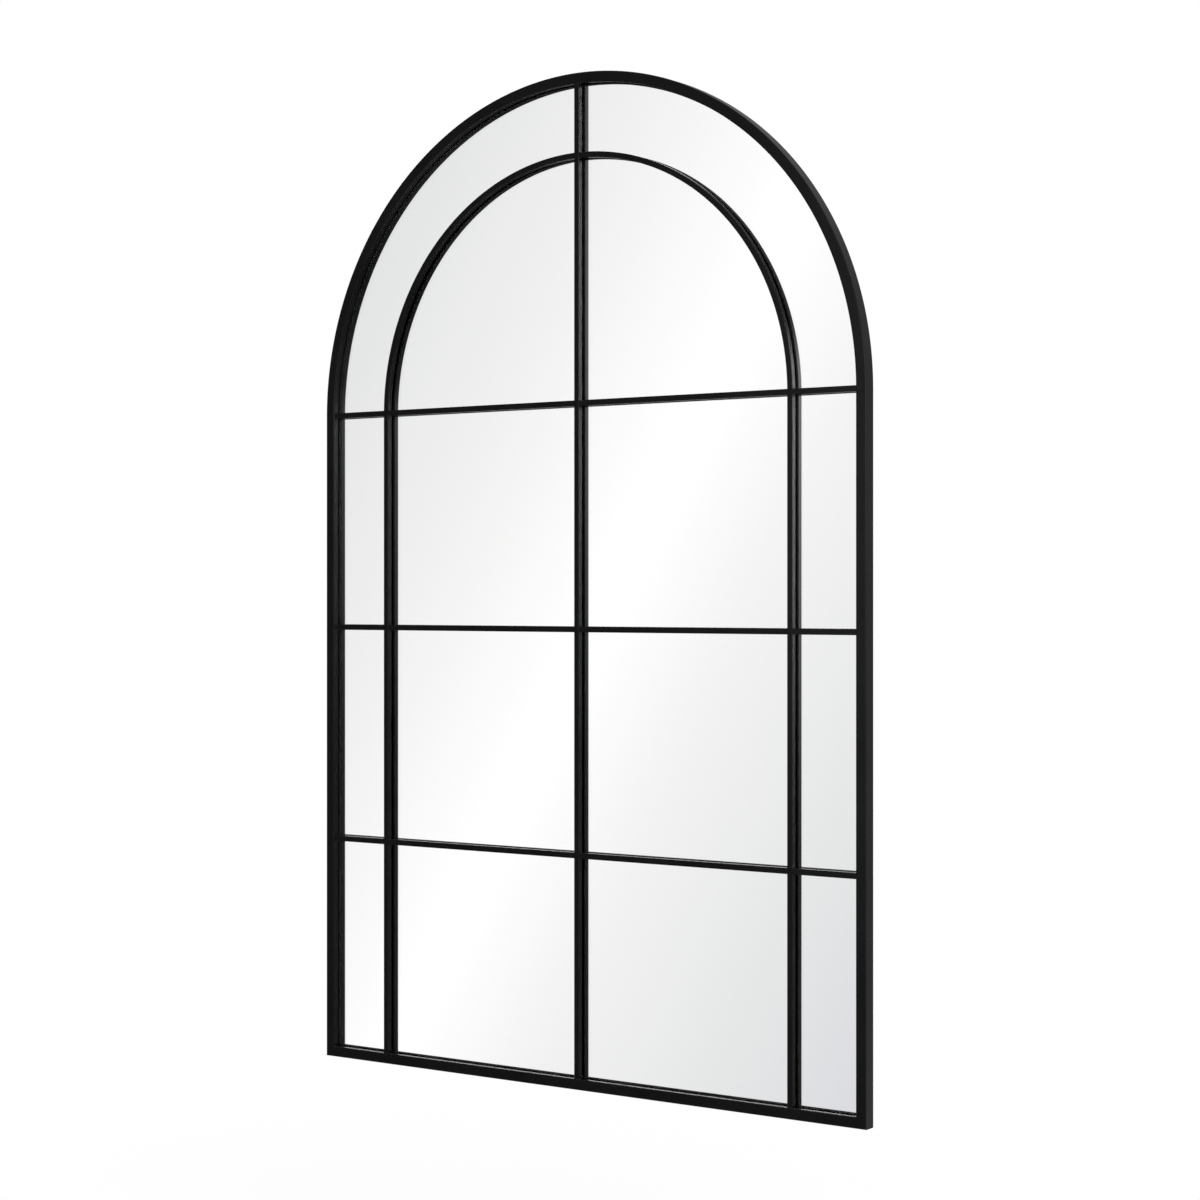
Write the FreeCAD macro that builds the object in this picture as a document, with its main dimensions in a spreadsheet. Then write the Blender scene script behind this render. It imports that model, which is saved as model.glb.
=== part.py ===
import FreeCAD, Part
import math
import os
import Sketcher

# Arched window-pane wall mirror: a ring of steel tube with an arched head, a grille of square
# glazing bars half-lapped at their crossings, one arched mirror pane behind the grille, a backing
# board held by screwed plates, and two swinging D-ring hangers on the back.
# Frame of the model: X to the viewer's right, Y into the wall, Z up. The origin lies on the wall,
# midway between the two D-ring pivots.

# Driving dimensions in millimetres, kept in the sheet
SIZES = {
    # outer frame of rectangular tube
    "overall_width": 914.0,
    "spring_height": 950.0,
    "frame_face": 15.0,
    "tube_wall": 1.5,
    "tube_edge_radius": 1.2,
    # square glazing bars
    "bar_size": 8.0,
    "bar_edge_radius": 0.5,
    "bar_setback": 1.0,
    "bar_end_clearance": 0.1,
    "side_light": 95.0,
    "lap_clearance": 0.1,
    # foam tape between bars and glass
    "tape_width": 6.0,
    "tape_thickness": 1.0,
    # mirror pane, the blocks that it stands on, and the backing board
    "glass_thickness": 5.0,
    "glass_arris": 0.3,
    "board_thickness": 5.0,
    "pane_edge_gap": 0.8,
    "board_edge_gap": 0.3,
    "block_length": 50.0,
    # plates that hold the board in the frame
    "plate_length": 30.0,
    "plate_overlap": 10.0,
    "plate_margin": 2.0,
    "plate_thickness": 1.5,
    "plate_corner": 3.0,
    "plate_hole_spacing": 18.0,
    # pan-head screws
    "screw_head_diameter": 6.4,
    "screw_head_height": 2.2,
    "screw_shank_diameter": 2.8,
    "screw_hole_clearance": 0.15,
    "screw_bite": 4.0,
    # D-ring hangers
    "hanger_height": 930.0,
    "hanger_inset": 60.0,
    "strap_width": 12.0,
    "strap_length": 37.0,
    "strap_sheet": 0.8,
    "strap_neck": 5.1,
    "strap_corner": 3.0,
    "strap_first_screw": 22.0,
    "strap_screw_spacing": 10.0,
    "ring_wire": 2.5,
    "ring_width": 19.0,
    "ring_leg": 5.0,
    "ring_corner": 3.0,
    "ring_running_clearance": 0.05,
    "ring_strap_clearance": 0.3,
    # rubber bumpers on the bottom rail
    "bumper_diameter": 12.0,
    "bumper_top_diameter": 10.0,
    "bumper_height": 6.0,
    "bumper_edge_radius": 0.8,
    "bumper_inset": 50.0,
}

# Counts that set the pattern of the grille and of the plates
ROWS_BELOW_SPRING = 3
PLATES_PER_STILE = 3
PLATES_ON_RAIL = 2
PLATES_ON_ARCH = 4
HALF_TURN = 180.0
QUARTER_TURN = 90.0
# angle below the horizontal at which the strap's outer layer leaves its loop
LOOP_LEAVING_ANGLE = 40.0
# shares of a screw head: its upright rim in its height, its flat top in its radius
SCREW_RIM_SHARE = 0.4
SCREW_FLAT_SHARE = 0.6

doc = FreeCAD.newDocument("window_pane_mirror")
sheet = doc.addObject("Spreadsheet::Sheet", "Sizes")
for row, (alias, size) in enumerate(SIZES.items(), start=1):
    sheet.set(f"A{row}", alias)
    sheet.set(f"B{row}", str(size))
    sheet.setAlias(f"B{row}", alias)
doc.recompute()

# Derived sizes as expressions on the sheet. Depths are counted forwards from the frame's back.
HALF_WIDTH = "(Sizes.overall_width / 2)"
CLEAR_HALF = f"({HALF_WIDTH} - Sizes.frame_face)"
GLASS_BACK = "Sizes.board_thickness"
GLASS_FRONT = "(Sizes.board_thickness + Sizes.glass_thickness)"
BAR_BACK = f"({GLASS_FRONT} + Sizes.tape_thickness)"
BAR_FRONT = f"({BAR_BACK} + Sizes.bar_size)"
FRAME_DEPTH = f"({BAR_FRONT} + Sizes.bar_setback)"
HALF_BAR = "(Sizes.bar_size / 2)"
SIDE_BAR = f"({CLEAR_HALF} - Sizes.side_light - {HALF_BAR})"
CROSSBAR_HALF = f"({CLEAR_HALF} - Sizes.bar_end_clearance)"
CENTRE_BAR_TOP = f"(Sizes.spring_height + {CROSSBAR_HALF})"
PANE_CLEAR = (
    f"((Sizes.spring_height - Sizes.frame_face - {ROWS_BELOW_SPRING - 0.5} * Sizes.bar_size)"
    f" / {ROWS_BELOW_SPRING})"
)
CROSSBAR_HEIGHTS = [
    f"(Sizes.frame_face + {row} * {PANE_CLEAR} + {row - 0.5} * Sizes.bar_size)"
    for row in range(1, ROWS_BELOW_SPRING + 1)
]
HANGER_X = f"({CLEAR_HALF} - Sizes.hanger_inset)"
WIRE_RADIUS = "(Sizes.ring_wire / 2)"
STRAP_THICKNESS = "(2 * Sizes.strap_sheet)"
RING_AXIS_DEPTH = f"({STRAP_THICKNESS} + {WIRE_RADIUS} + Sizes.ring_strap_clearance)"
LOOP_BORE = f"({WIRE_RADIUS} + Sizes.ring_running_clearance)"
LOOP_OUTER = f"({LOOP_BORE} + Sizes.strap_sheet)"
SCREW_HOLE = "(Sizes.screw_shank_diameter / 2 + Sizes.screw_hole_clearance)"
# a hole through one wall of the tube ends halfway into the next wall's thickness of air
WALL_DRILL_DEPTH = "(1.5 * Sizes.tube_wall)"

nodes = {}


def number(expression):
    """The present value of an expression on the sheet."""
    return float(sheet.evalExpression(expression))


def negative(expression):
    return f"(-1 * {expression})"


def register(label, piece):
    """Give a finished piece its name and list it for writing out."""
    piece.Label = label
    nodes[label] = piece
    return piece


def bind_place(piece, x="0", y="(-1 * Sizes.bumper_height)", z="(-1 * Sizes.hanger_height)"):
    """Tie a piece's place to the sheet; by default the middle of the bottom edge at the frame's back."""
    for axis, expression in (("x", x), ("y", y), ("z", z)):
        piece.setExpression(f"Placement.Base.{axis}", expression)


# Sketch helpers


def new_body(name):
    return doc.addObject("PartDesign::Body", name)


def sketch_on(body, role, offset="0"):
    """A sketch on one of the body's own planes, moved along that plane's normal."""
    sketch = body.newObject("Sketcher::SketchObject", f"{body.Name}_sketch")
    plane = [feature for feature in body.Origin.OriginFeatures if feature.Role == role][0]
    sketch.AttachmentSupport = [(plane, "")]
    sketch.MapMode = "FlatFace"
    sketch.setExpression("AttachmentOffset.Base.z", offset)
    return sketch


def pin_axis(sketch, kind, geometry, point, expression):
    """Fix one coordinate of a sketch point at an expression's value."""
    if expression == "0":
        axis = -2 if kind == "DistanceX" else -1
        sketch.addConstraint(Sketcher.Constraint("PointOnObject", geometry, point, axis))
        return
    size = number(expression)
    index = sketch.addConstraint(Sketcher.Constraint(kind, -1, 1, geometry, point, size))
    sketch.setExpression(f"Constraints[{index}]", expression)


def pin(sketch, geometry, point, x, y):
    pin_axis(sketch, "DistanceX", geometry, point, x)
    pin_axis(sketch, "DistanceY", geometry, point, y)


def vector(x, y):
    return FreeCAD.Vector(number(x), number(y), 0)


def outline(sketch, corners, arcs=None):
    """Closed outline from corner to corner; arcs maps an edge's number to its arc.

    Each corner is a pair of expressions. An arc is (middle, axis, expression): a point that it
    passes through, and the one coordinate of its centre that its two ends leave open.
    """
    arcs = arcs or {}
    first = sketch.GeometryCount
    edge_count = len(corners)
    for number_of_edge in range(edge_count):
        start = vector(*corners[number_of_edge])
        end = vector(*corners[(number_of_edge + 1) % edge_count])
        if number_of_edge in arcs:
            middle = vector(*arcs[number_of_edge][0])
            anticlockwise = (middle - start).cross(end - middle).z > 0
            first_end, last_end = (start, end) if anticlockwise else (end, start)
            sketch.addGeometry(Part.Arc(first_end, middle, last_end))
        else:
            sketch.addGeometry(Part.LineSegment(start, end))
    # arcs are drawn anticlockwise, so an arc's start may be the outline's next corner
    ends = []
    for number_of_edge in range(edge_count):
        edge = sketch.Geometry[first + number_of_edge]
        start = vector(*corners[number_of_edge])
        forward = edge.StartPoint.distanceToPoint(start) < edge.EndPoint.distanceToPoint(start)
        ends.append((1, 2) if forward else (2, 1))
    for number_of_edge in range(edge_count):
        geometry = first + number_of_edge
        pin(sketch, geometry, ends[number_of_edge][0], *corners[number_of_edge])
        following = (number_of_edge + 1) % edge_count
        sketch.addConstraint(Sketcher.Constraint(
            "Coincident", geometry, ends[number_of_edge][1], first + following, ends[following][0]))
        if number_of_edge in arcs:
            pin_axis(sketch, arcs[number_of_edge][1], geometry, 3, arcs[number_of_edge][2])


def rectangle(sketch, left, right, low, high):
    outline(sketch, [(left, low), (right, low), (right, high), (left, high)])


def circle(sketch, x, y, radius):
    geometry = sketch.addGeometry(Part.Circle(vector(x, y), FreeCAD.Vector(0, 0, 1), number(radius)))
    pin(sketch, geometry, 3, x, y)
    index = sketch.addConstraint(Sketcher.Constraint("Radius", geometry, number(radius)))
    sketch.setExpression(f"Constraints[{index}]", radius)


# Feature helpers


def pad(body, sketch, length):
    feature = body.newObject("PartDesign::Pad", f"{body.Name}_pad")
    feature.Profile = sketch
    feature.setExpression("Length", length)
    doc.recompute()
    return feature


def pocket(body, sketch, depth, along_normal):
    """Cut a sketch into the body, along or against the sketch's normal."""
    before = body.Shape.Volume
    feature = body.newObject("PartDesign::Pocket", f"{body.Name}_pocket")
    feature.Profile = sketch
    feature.setExpression("Length", depth)
    feature.Reversed = along_normal
    doc.recompute()
    if body.Shape.Volume >= before:
        raise RuntimeError(f"a pocket of {body.Name} cuts nothing")
    return feature


def revolve(body, sketch, axis, angle):
    feature = body.newObject("PartDesign::Revolution", f"{body.Name}_revolution")
    feature.Profile = sketch
    feature.ReferenceAxis = (sketch, [axis])
    feature.Angle = angle
    doc.recompute()
    return feature


def dress(body, kind, base, size, expression, wanted):
    """Round or bevel those edges of a feature that the test picks."""
    names = [f"Edge{i}" for i, edge in enumerate(base.Shape.Edges, start=1) if wanted(edge)]
    feature = body.newObject(f"PartDesign::{kind}", f"{body.Name}_{kind.lower()}")
    feature.Base = (base, names)
    feature.setExpression(size, expression)
    doc.recompute()
    return feature


def near(first, second):
    return abs(first - second) < 1e-4


def runs_along(edge, direction):
    """True for a straight edge parallel to a direction."""
    if edge.Curve.TypeId != "Part::GeomLine":
        return False
    span = edge.Vertexes[-1].Point - edge.Vertexes[0].Point
    return near(abs(span.normalize() * direction), 1.0)


def outer_edges(direction, corners):
    """A test for the edges along a direction whose ends lie on the outer corners of a section."""
    across = [axis for axis in "xyz" if not getattr(direction, axis)]

    def wanted(edge):
        if not runs_along(edge, direction):
            return False
        point = edge.Vertexes[0].Point
        return all(
            any(near(getattr(point, axis), value) for value in values)
            for axis, values in zip(across, corners)
        )

    return wanted


def bent_edges(radii):
    """A test for the long round edges of a bent bar, by their radius."""
    return lambda edge: edge.Curve.TypeId == "Part::GeomCircle" and any(
        near(edge.Curve.Radius, radius) for radius in radii)


# Places of the plates that hold the board, on the inner edge of the frame


def plate_places():
    """For each plate: its node's name, the member that carries it, its foot point and its angle.

    The foot point lies on the frame's inner edge, in expressions; the angle is that of the
    direction from the pane outwards, anticlockwise from +X as seen from the front.
    """
    places = []
    for index in range(PLATES_PER_STILE):
        height = f"({(index + 0.5) / PLATES_PER_STILE} * Sizes.spring_height)"
        places.append((f"left_plate_{index + 1}", "left_stile", negative(CLEAR_HALF), height, HALF_TURN))
        places.append((f"right_plate_{index + 1}", "right_stile", CLEAR_HALF, height, 0.0))
    for index in range(PLATES_ON_RAIL):
        share = (index + 0.5) / PLATES_ON_RAIL * 2 - 1
        across = f"({share} * {CLEAR_HALF})"
        label = f"bottom_plate_{index + 1}"
        places.append((label, "bottom_rail", across, "Sizes.frame_face", -QUARTER_TURN))
    for index in range(PLATES_ON_ARCH):
        angle = HALF_TURN * (index + 1) / (PLATES_ON_ARCH + 1)
        across = f"({math.cos(math.radians(angle))} * {CLEAR_HALF})"
        height = f"(Sizes.spring_height + {math.sin(math.radians(angle))} * {CLEAR_HALF})"
        places.append((f"arch_plate_{index + 1}", "arch_head", across, height, angle))
    return places


def plate_holes(across, height, angle):
    """Centres of a plate's two screw holes, in expressions: on the tube's centre line."""
    cosine = math.cos(math.radians(angle))
    sine = math.sin(math.radians(angle))
    centres = []
    for side in (-0.5, 0.5):
        x = f"({across} + {cosine} * Sizes.frame_face / 2 + {side * sine} * Sizes.plate_hole_spacing)"
        z = f"({height} + {sine} * Sizes.frame_face / 2 - {side * cosine} * Sizes.plate_hole_spacing)"
        centres.append((x, z))
    return centres


def drill_tube(body, member):
    """Screw holes through the back wall of one member of the frame."""
    sketch = sketch_on(body, "XZ_Plane")
    for _, carrier, across, height, angle in plate_places():
        if carrier == member:
            for x, z in plate_holes(across, height, angle):
                circle(sketch, x, z, SCREW_HOLE)
    pocket(body, sketch, WALL_DRILL_DEPTH, True)


# Outer frame


def tube_section(sketch, left, right, low, high):
    """A hollow rectangle: the outside of the tube and its bore one wall inside."""
    rectangle(sketch, left, right, low, high)
    wall = "Sizes.tube_wall"
    rectangle(sketch, f"({left} + {wall})", f"({right} - {wall})",
              f"({low} + {wall})", f"({high} - {wall})")


def cut_mitre(body, side):
    """Cut a bottom corner at 45 degrees, on the stile's side or the rail's side of the joint."""
    sketch = sketch_on(body, "XZ_Plane")
    for sign, corner in side:
        outer = f"({sign} * {HALF_WIDTH})"
        inner = f"({sign} * {CLEAR_HALF})"
        spare = corner(outer, inner)
        outline(sketch, [(outer, "0"), (inner, "Sizes.frame_face"), spare])
    pocket(body, sketch, FRAME_DEPTH, True)


def make_stile(label, sign):
    """Upright tube from the mitred bottom corner to the spring line."""
    body = new_body(label)
    sketch = sketch_on(body, "XY_Plane")
    ends = sorted((f"({sign} * {HALF_WIDTH})", f"({sign} * {CLEAR_HALF})"), key=number)
    tube_section(sketch, ends[0], ends[1], negative(FRAME_DEPTH), "0")
    tube = pad(body, sketch, "Sizes.spring_height")
    corners = ([number(end) for end in ends], [0.0, -number(FRAME_DEPTH)])
    dress(body, "Fillet", tube, "Radius", "Sizes.tube_edge_radius",
          outer_edges(FreeCAD.Vector(0, 0, 1), corners))
    cut_mitre(body, [(sign, lambda outer, inner: (inner, "0"))])
    drill_tube(body, label)
    bind_place(body)
    return register(label, body)


def make_bottom_rail():
    """Level tube along the foot, mitred at both ends."""
    body = new_body("bottom_rail")
    sketch = sketch_on(body, "YZ_Plane", negative(HALF_WIDTH))
    tube_section(sketch, negative(FRAME_DEPTH), "0", "0", "Sizes.frame_face")
    tube = pad(body, sketch, "Sizes.overall_width")
    corners = ([0.0, -number(FRAME_DEPTH)], [0.0, number("Sizes.frame_face")])
    dress(body, "Fillet", tube, "Radius", "Sizes.tube_edge_radius",
          outer_edges(FreeCAD.Vector(1, 0, 0), corners))
    spare = lambda outer, inner: (outer, "Sizes.frame_face")
    cut_mitre(body, [(-1, spare), (1, spare)])
    drill_tube(body, "bottom_rail")
    bind_place(body)
    return register("bottom_rail", body)


def make_arch_head():
    """Half ring of the same tube, from one stile's top over to the other's."""
    body = new_body("arch_head")
    sketch = sketch_on(body, "XY_Plane", "Sizes.spring_height")
    tube_section(sketch, negative(HALF_WIDTH), negative(CLEAR_HALF), negative(FRAME_DEPTH), "0")
    tube = revolve(body, sketch, "V_Axis", HALF_TURN)
    dress(body, "Fillet", tube, "Radius", "Sizes.tube_edge_radius",
          bent_edges([number(HALF_WIDTH), number(CLEAR_HALF)]))
    drill_tube(body, "arch_head")
    bind_place(body)
    return register("arch_head", body)


# Grille of glazing bars


def bar_edges(direction, centre_across):
    """The four long edges of a straight bar."""
    low, high = centre_across - number(HALF_BAR), centre_across + number(HALF_BAR)
    depths = [-number(BAR_FRONT), -number(BAR_BACK)]
    corners = ([low, high], depths) if direction.z else (depths, [low, high])
    return outer_edges(direction, corners)


def lap_cut(body, cuts, from_front):
    """Half-depth notches; each cut is (left, right, low, high)."""
    face = BAR_FRONT if from_front else BAR_BACK
    sketch = sketch_on(body, "XZ_Plane", face)
    for cut in cuts:
        rectangle(sketch, *cut)
    pocket(body, sketch, HALF_BAR, not from_front)


def lap_span(centre):
    """A notch's two ends round a crossing bar, with the lap's clearance."""
    half = f"({HALF_BAR} + Sizes.lap_clearance)"
    return f"({centre} - {half})", f"({centre} + {half})"


def wide_span(centre):
    """Ends of a notch that runs clear through a bar, past both of its sides."""
    return f"({centre} - Sizes.bar_size)", f"({centre} + Sizes.bar_size)"


def make_upright_bar(label, centre, top, crossings):
    """Upright bar from the bottom rail to a given height, notched behind for what crosses it."""
    body = new_body(label)
    sketch = sketch_on(body, "XY_Plane", "Sizes.frame_face")
    rectangle(sketch, f"({centre} - {HALF_BAR})", f"({centre} + {HALF_BAR})",
              negative(BAR_FRONT), negative(BAR_BACK))
    bar = pad(body, sketch, f"({top} - Sizes.frame_face)")
    dress(body, "Fillet", bar, "Radius", "Sizes.bar_edge_radius",
          bar_edges(FreeCAD.Vector(0, 0, 1), number(centre)))
    cuts = [wide_span(centre) + lap_span(height) for height in crossings]
    lap_cut(body, cuts, from_front=False)
    bind_place(body)
    return register(label, body)


def make_crossbar(label, height, crossings):
    """Level bar from stile to stile, notched in front for the upright bars."""
    body = new_body(label)
    sketch = sketch_on(body, "YZ_Plane", negative(CROSSBAR_HALF))
    rectangle(sketch, negative(BAR_FRONT), negative(BAR_BACK),
              f"({height} - {HALF_BAR})", f"({height} + {HALF_BAR})")
    bar = pad(body, sketch, f"(2 * {CROSSBAR_HALF})")
    dress(body, "Fillet", bar, "Radius", "Sizes.bar_edge_radius",
          bar_edges(FreeCAD.Vector(1, 0, 0), number(height)))
    cuts = [lap_span(centre) + wide_span(height) for centre in crossings]
    lap_cut(body, cuts, from_front=True)
    bind_place(body)
    return register(label, body)


def make_inner_arch():
    """Half ring of bar that carries the side bars on over the crown, standing on the top crossbar."""
    body = new_body("inner_arch")
    sketch = sketch_on(body, "XY_Plane", "Sizes.spring_height")
    inner = f"({SIDE_BAR} - {HALF_BAR})"
    outer = f"({SIDE_BAR} + {HALF_BAR})"
    rectangle(sketch, negative(outer), negative(inner), negative(BAR_FRONT), negative(BAR_BACK))
    bar = revolve(body, sketch, "V_Axis", HALF_TURN)
    dress(body, "Fillet", bar, "Radius", "Sizes.bar_edge_radius",
          bent_edges([number(inner), number(outer)]))
    foot = sketch_on(body, "XZ_Plane", BAR_BACK)
    rectangle(foot, negative(HALF_WIDTH), HALF_WIDTH, "(Sizes.spring_height - Sizes.bar_size)",
              f"(Sizes.spring_height + {HALF_BAR})")
    pocket(body, foot, "Sizes.bar_size", True)
    crown = f"(Sizes.spring_height + {SIDE_BAR})"
    lap_cut(body, [lap_span("0") + wide_span(crown)], from_front=True)
    bind_place(body)
    return register("inner_arch", body)


# Foam tape between the bars and the glass


def tape_box(name, left, right, low, high):
    """A strip of tape lying on the glass."""
    strip = doc.addObject("Part::Box", name)
    strip.setExpression("Length", f"({right} - {left})")
    strip.setExpression("Width", "Sizes.tape_thickness")
    strip.setExpression("Height", f"({high} - {low})")
    bind_place(strip, left, f"(-1 * Sizes.bumper_height - {BAR_BACK})", f"({low} - Sizes.hanger_height)")
    return strip


def half_span(centre):
    """The two sides of a strip centred on a bar."""
    return f"({centre} - Sizes.tape_width / 2)", f"({centre} + Sizes.tape_width / 2)"


def cut_by(label, base, tools):
    """What is left of a strip between the strips that it meets."""
    piece = base
    for tool in tools:
        step = doc.addObject("Part::Cut", f"{label}_cut")
        step.Base = piece
        step.Tool = tool
        piece = step
    return piece


def make_tapes():
    """One strip behind each bar: whole on the uprights, in lengths on what crosses them."""
    upright = {}
    upright["centre"] = tape_box("centre_tape", *half_span("0"), "Sizes.frame_face", CENTRE_BAR_TOP)
    for side, sign in (("left", -1), ("right", 1)):
        centre = f"({sign} * {SIDE_BAR})"
        top = f"({CROSSBAR_HEIGHTS[-1]} - Sizes.tape_width / 2)"
        upright[side] = tape_box(f"{side}_tape", *half_span(centre), "Sizes.frame_face", top)
    doc.recompute()
    for side, strip in upright.items():
        register(f"{side}_bar_tape", strip)
    for name, height in zip(("lower", "middle", "upper"), CROSSBAR_HEIGHTS):
        strip = tape_box(f"{name}_tape", negative(CROSSBAR_HALF), CROSSBAR_HALF, *half_span(height))
        met = [upright["centre"]] if name == "upper" else list(upright.values())
        register(f"{name}_crossbar_tape", cut_by(f"{name}_tape", strip, met))
    half_ring = []
    for name, sign in (("outer", 1), ("inner", -1)):
        disc = doc.addObject("Part::Cylinder", f"arch_tape_{name}")
        disc.setExpression("Radius", f"({SIDE_BAR} + {sign} * Sizes.tape_width / 2)")
        disc.setExpression("Height", "Sizes.tape_thickness")
        disc.Angle = HALF_TURN
        disc.Placement.Rotation = FreeCAD.Rotation(FreeCAD.Vector(1, 0, 0), QUARTER_TURN)
        bind_place(disc, "0", f"(-1 * Sizes.bumper_height - {GLASS_FRONT})",
                   "(Sizes.spring_height - Sizes.hanger_height)")
        half_ring.append(disc)
    foot_low = "(Sizes.spring_height - Sizes.tape_width)"
    foot_high = "(Sizes.spring_height + Sizes.tape_width / 2)"
    foot = tape_box("arch_tape_foot", negative(HALF_WIDTH), HALF_WIDTH, foot_low, foot_high)
    ring = cut_by("arch_tape", half_ring[0], [half_ring[1], foot, upright["centre"]])
    register("inner_arch_tape", ring)


# Mirror pane, backing board and setting blocks


def arched_sheet(label, back, thickness, edge_gap):
    """A sheet of the frame's clear outline less an edge gap all round, from a depth forwards."""
    body = new_body(label)
    sketch = sketch_on(body, "XZ_Plane", back)
    right = f"({CLEAR_HALF} - {edge_gap})"
    left = negative(right)
    foot = f"(Sizes.frame_face + {edge_gap})"
    spring = "Sizes.spring_height"
    crown = ("0", f"({spring} + {right})")
    outline(sketch, [(left, foot), (right, foot), (right, spring), (left, spring)],
            arcs={2: (crown, "DistanceY", spring)})
    return body, pad(body, sketch, thickness)


def make_mirror_glass():
    """One arched pane, silvered behind, its edges ground to a small bevel."""
    body, sheet_of_glass = arched_sheet(
        "mirror_glass", GLASS_BACK, "Sizes.glass_thickness", "Sizes.pane_edge_gap")
    faces = [-number(GLASS_BACK), -number(GLASS_FRONT)]
    on_a_face = lambda edge: all(
        any(near(vertex.Y, depth) for depth in faces) for vertex in edge.Vertexes
    ) and near(edge.Vertexes[0].Y, edge.Vertexes[-1].Y)
    dress(body, "Chamfer", sheet_of_glass, "Size", "Sizes.glass_arris", on_a_face)
    bind_place(body)
    return register("mirror_glass", body)


def strap_screw_drops():
    """How far below the ring's pivot each strap screw stands."""
    return ["Sizes.strap_first_screw", "(Sizes.strap_first_screw + Sizes.strap_screw_spacing)"]


def make_backing_board():
    """Board behind the glass: a close fit in the frame, flush with its back, drilled for hanger screws."""
    body, _ = arched_sheet("backing_board", "0", "Sizes.board_thickness", "Sizes.board_edge_gap")
    sketch = sketch_on(body, "XZ_Plane")
    for sign in (-1, 1):
        for drop in strap_screw_drops():
            circle(sketch, f"({sign} * {HANGER_X})", f"(Sizes.hanger_height - {drop})", SCREW_HOLE)
    pocket(body, sketch, "Sizes.board_thickness", True)
    bind_place(body)
    return register("backing_board", body)


def make_setting_block(label, sign):
    """Rubber block on the bottom rail that the pane stands on."""
    block = doc.addObject("Part::Box", label)
    block.setExpression("Length", "Sizes.block_length")
    block.setExpression("Width", "Sizes.glass_thickness")
    block.setExpression("Height", "Sizes.pane_edge_gap")
    bind_place(block, f"({sign} * {CLEAR_HALF} / 2 - Sizes.block_length / 2)",
               f"(-1 * Sizes.bumper_height - {GLASS_FRONT})", "(Sizes.frame_face - Sizes.hanger_height)")
    return register(label, block)


# Plates and screws on the back


def facing_back(angle):
    """Turn a piece drawn flat, face up, so that its face points at the wall and its X outwards."""
    upright = FreeCAD.Rotation(FreeCAD.Vector(1, 0, 0), -QUARTER_TURN)
    return FreeCAD.Rotation(FreeCAD.Vector(0, 1, 0), -angle).multiply(upright)


def make_plate(label, across, height, angle):
    """Steel plate screwed to the tube, with a tongue over the board; X points out of the pane."""
    body = new_body(label)
    sketch = sketch_on(body, "XY_Plane")
    half = "(Sizes.plate_length / 2)"
    rectangle(sketch, negative("Sizes.plate_overlap"), "(Sizes.frame_face - Sizes.plate_margin)",
              negative(half), half)
    for side in (-0.5, 0.5):
        circle(sketch, "(Sizes.frame_face / 2)", f"({side} * Sizes.plate_hole_spacing)", SCREW_HOLE)
    plate = pad(body, sketch, "Sizes.plate_thickness")
    dress(body, "Fillet", plate, "Radius", "Sizes.plate_corner",
          lambda edge: runs_along(edge, FreeCAD.Vector(0, 0, 1)))
    body.Placement.Rotation = facing_back(angle)
    bind_place(body, across, "(-1 * Sizes.bumper_height)", f"({height} - Sizes.hanger_height)")
    return register(label, body)


def make_screw(name, grip):
    """Pan-head screw as a turned solid, with its head's underside at Z = 0.

    The head is bevelled above a short upright rim, and the shank ends in a cone.
    """
    body = new_body(name)
    sketch = sketch_on(body, "XZ_Plane")
    head = "(Sizes.screw_head_diameter / 2)"
    shank = "(Sizes.screw_shank_diameter / 2)"
    rim = f"({SCREW_RIM_SHARE} * Sizes.screw_head_height)"
    crown = "Sizes.screw_head_height"
    reach = f"({grip} + Sizes.screw_bite)"
    outline(sketch, [
        ("0", crown), ("0", negative(reach)), (shank, f"({shank} - {reach})"),
        (shank, "0"), (head, "0"), (head, rim), (f"({SCREW_FLAT_SHARE} * {head})", crown),
    ])
    revolve(body, sketch, "V_Axis", 2 * HALF_TURN)
    return body


def make_screw_group(label, screw, places):
    """Copies of one screw; each place is a point and a turn."""
    copies = []
    for point, turn in places:
        copy = screw.Shape.copy()
        copy.Placement = FreeCAD.Placement(point, turn)
        copies.append(copy)
    group = doc.addObject("Part::Feature", label)
    group.Shape = Part.makeCompound(copies)
    return register(label, group)


def make_plates_and_screws():
    screw = make_screw("plate_screw_pattern", "(Sizes.plate_thickness + Sizes.tube_wall)")
    places = []
    head_depth = number("(Sizes.plate_thickness - Sizes.bumper_height)")
    for label, _, across, height, angle in plate_places():
        make_plate(label, across, height, angle)
        for x, z in plate_holes(across, height, angle):
            point = FreeCAD.Vector(number(x), head_depth, number(f"({z} - Sizes.hanger_height)"))
            places.append((point, facing_back(0)))
    make_screw_group("plate_screws", screw, places)


# D-ring hangers


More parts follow.
